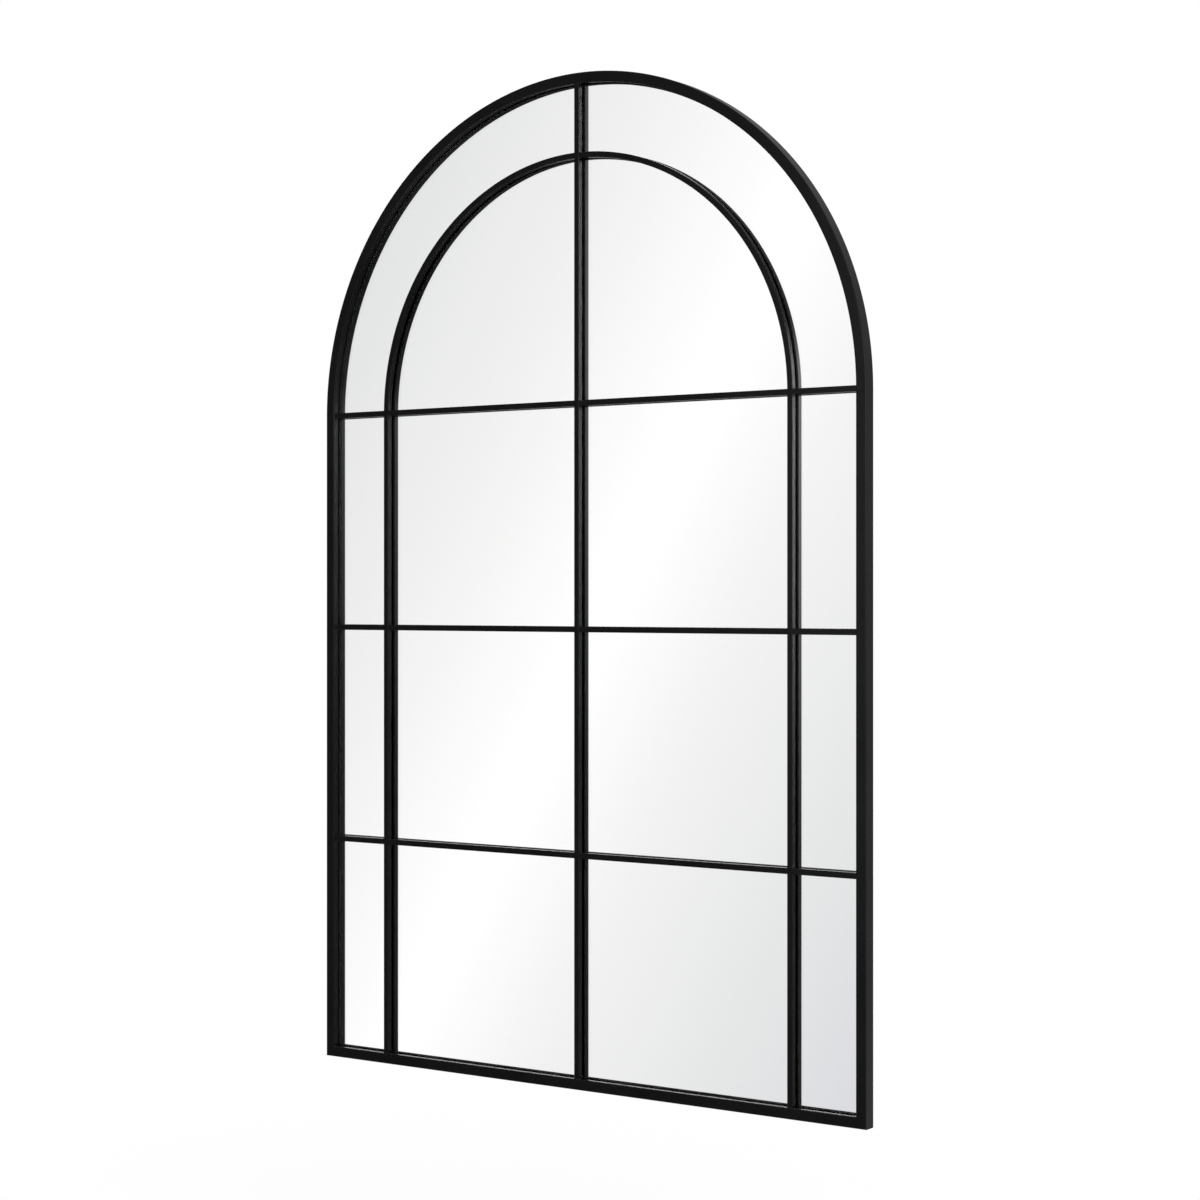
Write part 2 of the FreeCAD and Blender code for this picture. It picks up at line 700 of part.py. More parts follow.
def make_strap(label, sign):
    """Folded strap: two layers of sheet screwed to the board, opening into a loop round the ring's bar.

    Drawn in section on the YZ plane with the board's face at Y = 0 and the pivot at Z = 0.
    """
    body = new_body(label)
    sketch = sketch_on(body, "YZ_Plane", "(-1 * Sizes.strap_width / 2)")
    cosine = math.cos(math.radians(LOOP_LEAVING_ANGLE))
    sine = math.sin(math.radians(LOOP_LEAVING_ANGLE))
    neck = negative("Sizes.strap_neck")
    foot = negative("Sizes.strap_length")
    axis = RING_AXIS_DEPTH
    outline(sketch, [
        ("0", foot), (STRAP_THICKNESS, foot), (STRAP_THICKNESS, neck),
        (f"({axis} + {cosine} * {LOOP_OUTER})", f"(-{sine} * {LOOP_OUTER})"),
        (f"({axis} - {LOOP_OUTER})", "0"), ("0", neck),
    ], arcs={3: ((axis, LOOP_OUTER), "DistanceY", "0")})
    outline(sketch, [
        ("Sizes.strap_sheet", neck),
        (f"({axis} + {cosine} * {LOOP_BORE})", f"(-{sine} * {LOOP_BORE})"),
        (f"({axis} - {LOOP_BORE})", "0"),
    ], arcs={1: ((axis, LOOP_BORE), "DistanceY", "0")})
    folded = pad(body, sketch, "Sizes.strap_width")
    foot_height = -number("Sizes.strap_length")
    dress(body, "Fillet", folded, "Radius", "Sizes.strap_corner", lambda edge: runs_along(
        edge, FreeCAD.Vector(0, 1, 0)) and near(edge.Vertexes[0].Z, foot_height))
    holes = sketch_on(body, "XZ_Plane")
    for drop in strap_screw_drops():
        circle(holes, "0", negative(drop), SCREW_HOLE)
    pocket(body, holes, STRAP_THICKNESS, False)
    bind_place(body, f"({sign} * {HANGER_X})", z="0")
    return register(label, body)


def make_ring(label, sign):
    """Wire bent to a D and closed: a straight bar in the strap's loop, two legs and a half-round bow."""
    body = new_body(label)
    path = sketch_on(body, "XZ_Plane", negative(RING_AXIS_DEPTH))
    half = "(Sizes.ring_width / 2)"
    bar_end = f"({half} - Sizes.ring_corner)"
    corner = negative("Sizes.ring_corner")
    leg = negative("Sizes.ring_leg")
    slant = math.sqrt(0.5)
    turn = f"({bar_end} + {slant} * Sizes.ring_corner)"
    turn_height = f"(({slant} - 1) * Sizes.ring_corner)"
    outline(path, [
        ("0", "0"), (bar_end, "0"), (half, corner), (half, leg),
        (negative(half), leg), (negative(half), corner), (negative(bar_end), "0"),
    ], arcs={
        1: ((turn, turn_height), "DistanceX", bar_end),
        3: (("0", f"({leg} - {half})"), "DistanceY", leg),
        5: ((negative(turn), turn_height), "DistanceX", negative(bar_end)),
    })
    section = sketch_on(body, "YZ_Plane")
    circle(section, RING_AXIS_DEPTH, "0", WIRE_RADIUS)
    doc.recompute()
    wire = body.newObject("PartDesign::AdditivePipe", f"{label}_pipe")
    wire.Profile = section
    wire.Spine = path
    doc.recompute()
    bind_place(body, f"({sign} * {HANGER_X})", z="0")
    return register(label, body)


def make_hangers():
    screw = make_screw("hanger_screw_pattern", "(2 * Sizes.strap_sheet)")
    places = []
    head_depth = number(f"({STRAP_THICKNESS} - Sizes.bumper_height)")
    for side, sign in (("left", -1), ("right", 1)):
        make_strap(f"{side}_hanger_strap", sign)
        make_ring(f"{side}_d_ring", sign)
        for drop in strap_screw_drops():
            point = FreeCAD.Vector(sign * number(HANGER_X), head_depth, -number(drop))
            places.append((point, facing_back(0)))
    make_screw_group("hanger_screws", screw, places)


# Bumpers


def make_bumper(label, sign):
    """Rubber button stuck to the bottom rail, tapering to its rounded end at the wall."""
    body = new_body(label)
    sketch = sketch_on(body, "XZ_Plane")
    base = "(Sizes.bumper_diameter / 2)"
    end = "(Sizes.bumper_top_diameter / 2)"
    outline(sketch, [("0", "0"), (base, "0"), (end, "Sizes.bumper_height"), ("0", "Sizes.bumper_height")])
    button = revolve(body, sketch, "V_Axis", 2 * HALF_TURN)
    dress(body, "Fillet", button, "Radius", "Sizes.bumper_edge_radius", bent_edges([number(end)]))
    body.Placement.Rotation = facing_back(0)
    bind_place(body, f"({sign} * ({HALF_WIDTH} - Sizes.bumper_inset))",
               z="(Sizes.frame_face / 2 - Sizes.hanger_height)")
    return register(label, body)


# Assembly

make_stile("left_stile", -1)
make_stile("right_stile", 1)
make_bottom_rail()
make_arch_head()

inner_crown = f"(Sizes.spring_height + {SIDE_BAR})"
side_top = f"({CROSSBAR_HEIGHTS[-1]} - {HALF_BAR})"
make_upright_bar("centre_bar", "0", CENTRE_BAR_TOP, CROSSBAR_HEIGHTS + [inner_crown])
make_upright_bar("left_bar", negative(SIDE_BAR), side_top, CROSSBAR_HEIGHTS[:-1])
make_upright_bar("right_bar", SIDE_BAR, side_top, CROSSBAR_HEIGHTS[:-1])
upright_centres = [negative(SIDE_BAR), "0", SIDE_BAR]
make_crossbar("lower_crossbar", CROSSBAR_HEIGHTS[0], upright_centres)
make_crossbar("middle_crossbar", CROSSBAR_HEIGHTS[1], upright_centres)
make_crossbar("upper_crossbar", CROSSBAR_HEIGHTS[2], ["0"])
make_inner_arch()
make_tapes()

make_mirror_glass()
make_backing_board()
make_setting_block("left_setting_block", -1)
make_setting_block("right_setting_block", 1)
make_plates_and_screws()
make_hangers()
make_bumper("left_bumper", -1)
make_bumper("right_bumper", 1)
doc.recompute()

# Test every object and write each piece
for item in doc.Objects:
    if {"Invalid", "Error"} & set(item.State):
        raise RuntimeError(f"{item.Label} failed: {item.State}")
for label, piece in nodes.items():
    if piece.Shape.isNull() or not piece.Shape.isValid() or not piece.Shape.Solids:
        raise RuntimeError(f"{label} has no valid solid")

os.makedirs("parts", exist_ok=True)
for label, piece in nodes.items():
    piece.Shape.exportStep(f"parts/{label}.step")
print(f"{len(nodes)} pieces")
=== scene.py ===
"""Tubes, bars, pane, board, screws, finishes and studio of an arched window-pane wall mirror.

Everything is in metres in the part's own frame: X to the right, Y into the wall, Z up, the wall at Y = 0.
"""

import math

import bmesh
import bpy
import numpy as np
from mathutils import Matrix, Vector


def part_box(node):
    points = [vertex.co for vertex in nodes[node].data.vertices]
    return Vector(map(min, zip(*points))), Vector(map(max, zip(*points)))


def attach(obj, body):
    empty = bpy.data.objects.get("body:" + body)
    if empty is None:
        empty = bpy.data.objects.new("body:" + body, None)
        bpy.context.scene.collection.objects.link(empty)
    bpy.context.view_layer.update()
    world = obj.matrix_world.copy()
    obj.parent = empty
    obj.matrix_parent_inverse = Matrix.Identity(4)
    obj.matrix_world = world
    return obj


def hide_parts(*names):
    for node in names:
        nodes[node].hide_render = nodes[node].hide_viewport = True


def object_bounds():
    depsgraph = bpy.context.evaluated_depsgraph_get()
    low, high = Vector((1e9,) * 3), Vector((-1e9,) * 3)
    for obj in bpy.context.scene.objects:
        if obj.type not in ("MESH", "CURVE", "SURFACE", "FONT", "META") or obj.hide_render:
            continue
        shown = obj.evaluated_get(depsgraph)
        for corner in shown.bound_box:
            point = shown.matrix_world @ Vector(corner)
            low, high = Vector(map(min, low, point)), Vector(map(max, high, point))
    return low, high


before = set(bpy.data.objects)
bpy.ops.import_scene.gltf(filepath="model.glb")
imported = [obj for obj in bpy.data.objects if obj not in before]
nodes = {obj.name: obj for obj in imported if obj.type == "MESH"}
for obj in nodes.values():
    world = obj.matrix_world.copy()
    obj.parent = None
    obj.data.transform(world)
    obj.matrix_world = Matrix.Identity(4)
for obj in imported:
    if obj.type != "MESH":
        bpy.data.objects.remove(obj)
cad_low, cad_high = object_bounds()

MILLIMETRE = 0.001

# Places read from the frame
glass_low, glass_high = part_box("mirror_glass")
board_low, board_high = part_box("backing_board")
rail_low, rail_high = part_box("bottom_rail")
FRAME_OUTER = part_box("right_stile")[1].x
FRAME_FACE = rail_high.z - rail_low.z
FRAME_MIDDLE = FRAME_OUTER - FRAME_FACE / 2
FRAME_INNER = FRAME_OUTER - FRAME_FACE
RAIL_MIDDLE = (rail_low.z + rail_high.z) / 2
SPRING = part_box("arch_head")[1].z - FRAME_OUTER
PLATES = sorted(name for name in nodes if "_plate_" in name)

# Painted tubes and bars
TUBE_EDGE = 1.2 * MILLIMETRE
BAR_EDGE = 0.5 * MILLIMETRE
CORNER_STEPS = 7
ARCH_STEPS = 360
FLAT_RUN = 0.1 * MILLIMETRE
LAP_CLEARANCE = 0.1 * MILLIMETRE
LAP_LEAN = 0.02 * MILLIMETRE

# Corners sharper than these angles stay sharp
SWEEP_ANGLE = math.radians(30)
PANE_ANGLE = math.radians(20)
SCREW_ANGLE = math.radians(40)

# The camera that sees the mirror as the photograph does
CAMERA_PLACE = (2.0467, -2.8700, -0.2442)
CAMERA_TURN = math.radians(35.197)
LENS_MM = 76.0
SENSOR_MM = 36.0
HORIZON_SHIFT = -0.0049

# Glass
GLASS_ARRIS = 0.3 * MILLIMETRE
BACK_PAINT = 0.06 * MILLIMETRE
GLASS_IOR = 1.52

# Backing board
BOARD_GAP = 0.05 * MILLIMETRE
BOARD_ARRIS = 0.2 * MILLIMETRE
FIBRE_TURNS = (0, 35, 71, 104, 148)
FIBRES_ACROSS = 2200.0
FIBRES_ALONG = 320.0

# Screws
SCREW_HEAD_RADIUS = 3.2 * MILLIMETRE
SCREW_HEAD_HEIGHT = 2.2 * MILLIMETRE
SCREW_RIM_HEIGHT = 0.8 * MILLIMETRE
SCREW_UNDERSIDE_SHARE = 0.96
SCREW_SHANK_RADIUS = 1.4 * MILLIMETRE
SCREW_POINT_RADIUS = 0.3 * MILLIMETRE
THREAD_DEPTH = 0.25 * MILLIMETRE
THREAD_PITCH = 1.1 * MILLIMETRE
RECESS_ARM_LENGTH = 1.75 * MILLIMETRE
RECESS_ARM_WIDTH = 0.45 * MILLIMETRE
RECESS_EDGE = 0.16 * MILLIMETRE
RECESS_DEPTH = 1.3 * MILLIMETRE
PLATE_SCREW_SPACING = 18 * MILLIMETRE
HANGER_SCREW_DROPS = (22 * MILLIMETRE, 32 * MILLIMETRE)
SCREW_COLUMNS = 64
SHANK_ROWS = 36
CROWN_ROWS = 24
SCREW_SEED = 5

# Patterns: noise values between which a mask grows from none to all
PATCH_FADE = (0.32, 0.68)
DUST_BREAKS = (0.30, 0.75)
RUB_BREAKS = (0.35, 0.65)
# How far up a face looks where dust starts and where it lies fully, and its least share between patches
DUST_FACING = (0.3, 1.0)
DUST_LEAST = 0.2
# How nearly the softened surface direction keeps to the true one on a flat and on a rubbed edge
RUB_LIKENESS = (0.99, 0.80)
# Small lumps of the grain for each large one, along a line
FINER_COUNT = 2.7

# Noise values of fibres, rolled lines and foam cells that tone and roughness are read between
FIBRE_TONE_SPAN = (0.50, 0.82)
FIBRE_DULL_SPAN = (0.40, 0.80)
LINE_SPAN = (0.30, 0.70)
CELL_SPAN = (0.60, 1.20)
BOARD_TONE = (0.15, 0.95)

# Patches of the powder coat and lumps of the rubber, per metre
FRAME_PATCHES = 14.0
BAR_PATCHES = 22.0
BLOCK_GRAIN = 1500.0
BUMPER_GRAIN = 1100.0

# Rolled lines of the zinc pieces, per metre
PLATE_LINES = {"Along X": 1500.0, "Along Y": 1500.0, "Along Z": 120.0}
STRAP_LINES = {"Along X": 1700.0, "Along Y": 1700.0, "Along Z": 150.0}
RING_LINES = {"Along X": 300.0, "Along Y": 900.0, "Along Z": 300.0}
SCREW_LINES = {"Along X": 900.0, "Along Y": 900.0, "Along Z": 900.0}

# Roughness, from the smoothest to the dullest spots
POWDER_ROUGHNESS = (0.20, 0.22)
# The pane edge's painted shade is a little glossy in places
EDGE_SHADE_ROUGHNESS = (0.50, 0.70)
BOARD_ROUGHNESS = (0.66, 0.82)
RUBBER_ROUGHNESS = (0.62, 0.78)
FOAM_ROUGHNESS = (0.82, 0.95)

# Least roughness of the zinc pieces, what the lines add to it, and what rubbed edges take away
PLATE_ROUGHNESS = 0.30
STRAP_ROUGHNESS = 0.26
RING_ROUGHNESS = 0.20
SCREW_ROUGHNESS = 0.22
LINE_DULLING = 0.16
RUB_SMOOTHING = 0.1

# Fine relief: strength and depth
POWDER_RELIEF = (0.04, 0.03 * MILLIMETRE)
BOARD_RELIEF = (0.35, 0.10 * MILLIMETRE)
ZINC_RELIEF = (0.15, 0.02 * MILLIMETRE)
RUBBER_RELIEF = (0.30, 0.06 * MILLIMETRE)
FOAM_RELIEF = (0.50, 0.10 * MILLIMETRE)

# Colours
POWDER_DEEP = (0.0030, 0.0030, 0.0032, 1)
POWDER_SOFT = (0.0046, 0.0046, 0.0048, 1)
POWDER_RUBBED = (0.020, 0.020, 0.021, 1)
DUST_COLOUR = (0.30, 0.28, 0.25, 1)
GLASS_TINT = (0.998, 1.0, 0.999, 1)
SILVER_COOL = (0.994, 0.998, 0.998, 1)
SILVER_WARM = (1.0, 1.0, 0.998, 1)
# Painted shade for the pane's cut edge, which is clear glass on the real mirror and lies in the unlit gap by
# the frame
EDGE_SHADE_DEEP = (0.020, 0.020, 0.020, 1)
EDGE_SHADE_GREYED = (0.045, 0.045, 0.045, 1)
BOARD_DARK = (0.155, 0.090, 0.048, 1)
BOARD_LIGHT = (0.330, 0.215, 0.125, 1)
ZINC_COOL = (0.52, 0.55, 0.60, 1)
ZINC_WARM = (0.66, 0.64, 0.58, 1)
ZINC_BRIGHT = (0.82, 0.83, 0.84, 1)
RUBBER_DEEP = (0.012, 0.012, 0.013, 1)
RUBBER_GREYED = (0.035, 0.034, 0.033, 1)
FOAM_DEEP = (0.020, 0.020, 0.020, 1)
FOAM_GREYED = (0.045, 0.045, 0.045, 1)
WHITE = (1, 1, 1, 1)

# Studio
FLOOR_DROP = 0.35
FLOOR_RADIUS = 14.0
FLOOR_SIDES = 96
FLOOR_COLOUR = (0.93, 0.93, 0.93, 1)
SHADOW_REACH = 0.6
SHADOW_END = 2.2
SHADOW_WHITENING = 0.75
ROOM_LIGHT = (0.70, 0.70, 0.70, 1)
DIM_GLOSS = (0.06, 0.06, 0.06, 1)
DIM_TURN = math.radians(-48)
DIM_RISE = math.radians(-1)
# How nearly sight must go the dim side's way for none and all of its grey, and of the grey found in glass
DIM_REACH = (0.55, 0.96)
FOUND_REACH = (0.72, 0.88)
# Grey that gloss shows before and behind the mirror, by how steeply sight goes up
FRONT_STOPS = (
    (-1.00, (0.90, 0.90, 0.90, 1)),
    (-0.70, (0.20, 0.20, 0.20, 1)),
    (-0.50, (0.05, 0.05, 0.05, 1)),
    (-0.16, (0.19, 0.19, 0.19, 1)),
    (-0.03, (0.12, 0.12, 0.12, 1)),
    (0.03, (0.44, 0.44, 0.45, 1)),
    (0.12, (0.88, 0.88, 0.90, 1)),
    (0.25, (0.45, 0.45, 0.46, 1)),
    (0.42, (0.16, 0.16, 0.16, 1)),
    (0.70, (0.20, 0.20, 0.20, 1)),
    (1.00, (0.90, 0.90, 0.90, 1)),
)
BACK_STOPS = (
    (-1.00, (0.95, 0.95, 0.95, 1)),
    (-0.32, (0.62, 0.62, 0.62, 1)),
    (-0.18, (0.24, 0.24, 0.24, 1)),
    (0.00, (0.24, 0.24, 0.25, 1)),
    (0.60, (0.28, 0.28, 0.29, 1)),
    (1.00, (0.95, 0.95, 0.95, 1)),
)
# How far sight must go forwards for none and all of the grey before the mirror
FRONT_REACH = (-0.10, 0.30)
# Grey that gloss finds in the glass on the dim side: bright only as high as the bottom rail sends sight
FOUND_STOPS = (
    (-0.40, (0.06, 0.06, 0.06, 1)),
    (-0.15, (0.40, 0.40, 0.40, 1)),
    (0.115, (0.32, 0.32, 0.32, 1)),
    (0.165, (1.50, 1.50, 1.50, 1)),
    (0.40, (1.00, 1.00, 1.00, 1)),
)
# Soft boxes: turn and rise in degrees, how nearly sight must go their way for none and all of it, glow
SOFTBOXES = (
    (25, 6.5, 0.977, 0.998, 1.9),
    (-18, 1.0, 0.970, 0.998, 0.5),
)
# Light band that the glass shows: its slant, and its colour by the distance across it
SHEEN_TILT = 0.477
SHEEN_STOPS = (
    (-0.600, (0.920, 0.930, 0.930, 1)),
    (-0.165, (0.791, 0.806, 0.798, 1)),
    (-0.070, (0.932, 0.926, 0.928, 1)),
    (0.000, (1.06, 1.06, 1.06, 1)),
    (0.010, (1.06, 1.06, 1.06, 1)),
    (0.064, (0.936, 0.931, 0.932, 1)),
    (0.117, (0.854, 0.865, 0.858, 1)),
    (0.190, (0.746, 0.748, 0.779, 1)),
    (0.600, (0.930, 0.930, 0.940, 1)),
)
# Lamps: place, side of the square, and power in watts
LAMPS = {
    "key_lamp": ((2.6, -1.8, 2.4), 1.8, 70.0),
    "fill_lamp": ((-3.0, -2.0, 1.2), 2.4, 25.0),
    "back_lamp": ((1.5, 3.0, 1.8), 2.4, 40.0),
}


# Names and places of pieces

def nodes_of(ending):
    """Pieces whose names end with that word."""
    return [name for name in nodes if name.endswith(ending)]


def middle_of(node, axis):
    """The middle of a piece along one axis."""
    low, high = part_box(node)
    return (low[axis] + high[axis]) / 2


# Node helpers

def add_node(tree, kind, inputs=None, **settings):
    """A node with its settings, whose inputs are plain values or the outputs of other nodes."""
    node = tree.nodes.new(kind)
    for name, value in settings.items():
        setattr(node, name, value)
    for name, value in (inputs or {}).items():
        if isinstance(value, bpy.types.NodeSocket):
            tree.links.new(value, node.inputs[name])
        else:
            node.inputs[name].default_value = value
    return node


def combine(tree, operation, first, second):
    """One step of arithmetic on two values."""
    return add_node(tree, "ShaderNodeMath", {0: first, 1: second}, operation=operation).outputs[0]


def map_range(tree, value, from_low, from_high, to_low, to_high):
    """A value carried from one range to another and held at the ends."""
    ends = {"From Min": from_low, "From Max": from_high, "To Min": to_low, "To Max": to_high}
    return add_node(tree, "ShaderNodeMapRange", {"Value": value, **ends}).outputs["Result"]


def noise(tree, place, scale, detail=2.0):
    """Soft noise between 0 and 1 with that many lumps per metre."""
    inputs = {"Vector": place, "Scale": scale, "Detail": detail}
    return add_node(tree, "ShaderNodeTexNoise", inputs).outputs["Fac"]


def mix_colour(tree, factor, first, second):
    """The first colour where the factor is 0, the second where it is 1."""
    return add_node(tree, "ShaderNodeMix", {0: factor, 6: first, 7: second}, data_type="RGBA").outputs[2]


def along_axis(tree, direction, axis):
    """How far a direction goes along an axis."""
    product = add_node(tree, "ShaderNodeVectorMath", {0: direction, 1: axis}, operation="DOT_PRODUCT")
    return product.outputs["Value"]


def object_place(tree):
    """The point on the piece, in metres in the part's frame."""
    return add_node(tree, "ShaderNodeTexCoord").outputs["Object"]


def new_group(name, inputs, output):
    """An empty shader group with those named values going in and one value coming out."""
    group = bpy.data.node_groups.new(name, "ShaderNodeTree")
    for label, value in inputs.items():
        socket = group.interface.new_socket(label, in_out="INPUT", socket_type="NodeSocketFloat")
        socket.default_value = value
    group.interface.new_socket(output, in_out="OUTPUT", socket_type="NodeSocketFloat")
    return group, add_node(group, "NodeGroupInput").outputs


def close_group(group, output, value):
    """The value that a group puts out."""
    add_node(group, "NodeGroupOutput", {output: value})
    return group


def use_group(tree, group, inputs):
    """A shared effect placed in a material with its own values."""
    return add_node(tree, "ShaderNodeGroup", inputs, node_tree=group).outputs[0]


# Effects that several finishes share

def make_blotches():
    """Broad soft patches: a value that drifts between Low and High."""
    group, given = new_group("Soft Blotches", {"Scale": 20.0, "Low": 0.0, "High": 1.0}, "Value")
    patches = noise(group, object_place(group), given["Scale"], detail=3.0)
    value = map_range(group, patches, *PATCH_FADE, given["Low"], given["High"])
    return close_group(group, "Value", value)


def make_grain():
    """Fine grain: lumps of one size with smaller ones on them."""
    group, given = new_group("Fine Grain", {"Scale": 1000.0, "Finer": 0.35}, "Height")
    place = object_place(group)
    lumps = noise(group, place, given["Scale"], detail=1.0)
    small = noise(group, place, combine(group, "MULTIPLY", given["Scale"], FINER_COUNT), detail=1.0)
    height = combine(group, "ADD", lumps, combine(group, "MULTIPLY", small, given["Finer"]))
    return close_group(group, "Height", height)


def make_lines():
    """Drawn or rolled lines: noise turned about Y, with its own count per metre along each axis."""
    inputs = {"Turn": 0.0, "Along X": 100.0, "Along Y": 100.0, "Along Z": 100.0}
    group, given = new_group("Drawn Lines", inputs, "Value")
    counts = {"X": given["Along X"], "Y": given["Along Y"], "Z": given["Along Z"]}
    pull = add_node(group, "ShaderNodeCombineXYZ", counts).outputs[0]
    turned = {"Vector": object_place(group), "Angle": given["Turn"]}
    place = add_node(group, "ShaderNodeVectorRotate", turned, rotation_type="Y_AXIS").outputs[0]
    stretched = add_node(group, "ShaderNodeVectorMath", {0: place, 1: pull}, operation="MULTIPLY")
    return close_group(group, "Value", noise(group, stretched.outputs[0], 1.0, detail=3.0))


def make_dust():
    """Settled dust: a mask on faces that look up, broken into patches."""
    group, given = new_group("Settled Dust", {"Amount": 0.1, "Scale": 60.0}, "Mask")
    normal = add_node(group, "ShaderNodeTexCoord").outputs["Normal"]
    up = add_node(group, "ShaderNodeSeparateXYZ", {0: normal}).outputs["Z"]
    facing = map_range(group, up, *DUST_FACING, 0.0, 1.0)
    specks = noise(group, object_place(group), given["Scale"], detail=4.0)
    patches = map_range(group, specks, *DUST_BREAKS, DUST_LEAST, 1.0)
    mask = combine(group, "MULTIPLY", combine(group, "MULTIPLY", facing, patches), given["Amount"])
    return close_group(group, "Mask", mask)


def make_edge_rub():
    """Rubbed edges: a mask where the surface turns within the given radius, broken by noise."""
    group, given = new_group("Rubbed Edges", {"Radius": 0.001, "Amount": 0.5, "Scale": 120.0}, "Mask")
    softened = add_node(group, "ShaderNodeBevel", {"Radius": given["Radius"]}, samples=4).outputs[0]
    normal = add_node(group, "ShaderNodeNewGeometry").outputs["Normal"]
    turned = map_range(group, along_axis(group, softened, normal), *RUB_LIKENESS, 0.0, 1.0)
    specks = noise(group, object_place(group), given["Scale"], detail=4.0)
    broken = map_range(group, specks, *RUB_BREAKS, 0.0, 1.0)
    mask = combine(group, "MULTIPLY", combine(group, "MULTIPLY", turned, broken), given["Amount"])
    return close_group(group, "Mask", mask)


BLOTCHES = make_blotches()
GRAIN = make_grain()
LINES = make_lines()
DUST = make_dust()
EDGE_RUB = make_edge_rub()


# Finishes

def new_finish(name, **constants):
    """A material with one principled shader, whose constant values are set on its own sockets."""
    material = bpy.data.materials.new(name)
    material.use_nodes = True
    tree = material.node_tree
    tree.nodes.clear()
    inputs = {label.replace("_", " "): value for label, value in constants.items()}
    shader = add_node(tree, "ShaderNodeBsdfPrincipled", inputs)
    add_node(tree, "ShaderNodeOutputMaterial", {"Surface": shader.outputs[0]})
    return material, tree, shader.inputs


def set_bump(tree, sockets, height, strength, depth):
    """A fine relief of that depth in metres on the finish."""
    inputs = {"Height": height, "Strength": strength, "Distance": depth}
    bump = add_node(tree, "ShaderNodeBump", inputs)
    tree.links.new(bump.outputs[0], sockets["Normal"])


def satin_black(name, patch_count):
    """Black powder coat: faint drift of tone, orange peel, edges rubbed a little lighter, a trace of dust."""
    material, tree, sockets = new_finish(name, Specular_IOR_Level=0.5)
    drift = use_group(tree, BLOTCHES, {"Scale": patch_count})
    rub = use_group(tree, EDGE_RUB, {"Radius": 0.6 * MILLIMETRE, "Amount": 0.25})
    dust = use_group(tree, DUST, {"Amount": 0.02})
    colour = mix_colour(tree, drift, POWDER_DEEP, POWDER_SOFT)
    colour = mix_colour(tree, rub, colour, POWDER_RUBBED)
    tree.links.new(mix_colour(tree, dust, colour, DUST_COLOUR), sockets["Base Color"])
    roughness = map_range(tree, drift, 0.0, 1.0, *POWDER_ROUGHNESS)
    tree.links.new(combine(tree, "ADD", roughness, dust), sockets["Roughness"])
    set_bump(tree, sockets, use_group(tree, GRAIN, {"Scale": 1600.0}), *POWDER_RELIEF)
    return material


def clear_glass():
    """Float glass: clear and smooth, with a breath of haze that drifts over the pane."""
    material, tree, sockets = new_finish(
        "clear_float_glass", Transmission_Weight=1.0, IOR=GLASS_IOR, Base_Color=GLASS_TINT)
    haze = use_group(tree, BLOTCHES, {"Scale": 6.0, "Low": 0.0, "High": 0.004})
    tree.links.new(haze, sockets["Roughness"])
    return material


def painted_edge_shade():
    """Painted shade: opaque black on the pane's cut edge, standing in for the unlit gap at the clear glass
    edge.
    """
    material, tree, sockets = new_finish("pane_edge_painted_shade", Specular_IOR_Level=0.3)
    shade_drift = use_group(tree, BLOTCHES, {"Scale": 160.0})
    tree.links.new(mix_colour(tree, shade_drift, EDGE_SHADE_DEEP, EDGE_SHADE_GREYED), sockets["Base Color"])
    tree.links.new(map_range(tree, shade_drift, 0.0, 1.0, *EDGE_SHADE_ROUGHNESS), sockets["Roughness"])
    return material


def silvering():
    """Silver layer on the back of the glass, with the faintest drift of tint."""
    material, tree, sockets = new_finish("mirror_silver", Metallic=1.0, Roughness=0.0)
    drift = use_group(tree, BLOTCHES, {"Scale": 3.0})
    tree.links.new(mix_colour(tree, drift, SILVER_COOL, SILVER_WARM), sockets["Base Color"])
    return material


def fibreboard():
    """Brown fibreboard: short pale fibres laid every way on a darker ground, slightly furry."""
    material, tree, sockets = new_finish("brown_fibreboard", Specular_IOR_Level=0.25)
    fibres = 0.0
    for turn in FIBRE_TURNS:
        counts = {"Along X": FIBRES_ACROSS, "Along Y": FIBRES_ACROSS + turn, "Along Z": FIBRES_ALONG}
        strands = use_group(tree, LINES, {"Turn": math.radians(turn), **counts})
        fibres = combine(tree, "MAXIMUM", fibres, strands)
    drift = use_group(tree, BLOTCHES, {"Scale": 9.0, "Low": -0.12, "High": 0.12})
    tone = combine(tree, "ADD", map_range(tree, fibres, *FIBRE_TONE_SPAN, *BOARD_TONE), drift)
    dust = use_group(tree, DUST, {"Amount": 0.25})
    colour = mix_colour(tree, tone, BOARD_DARK, BOARD_LIGHT)
    tree.links.new(mix_colour(tree, dust, colour, DUST_COLOUR), sockets["Base Color"])
    tree.links.new(map_range(tree, fibres, *FIBRE_DULL_SPAN, *BOARD_ROUGHNESS), sockets["Roughness"])
    set_bump(tree, sockets, fibres, *BOARD_RELIEF)
    return material


def zinc_plate(name, line_counts, least_roughness):
    """Zinc plating over steel: cool and warm passivation patches, rolled lines, edges rubbed bright."""
    material, tree, sockets = new_finish(name, Metallic=1.0)
    patches = use_group(tree, BLOTCHES, {"Scale": 90.0})
    lines = use_group(tree, LINES, line_counts)
    rub = use_group(tree, EDGE_RUB, {"Radius": 0.4 * MILLIMETRE, "Amount": 0.6, "Scale": 300.0})
    colour = mix_colour(tree, patches, ZINC_COOL, ZINC_WARM)
    tree.links.new(mix_colour(tree, rub, colour, ZINC_BRIGHT), sockets["Base Color"])
    roughness = map_range(tree, lines, *LINE_SPAN, least_roughness, least_roughness + LINE_DULLING)
    smoothing = combine(tree, "MULTIPLY", rub, RUB_SMOOTHING)
    tree.links.new(combine(tree, "SUBTRACT", roughness, smoothing), sockets["Roughness"])
    set_bump(tree, sockets, lines, *ZINC_RELIEF)
    return material


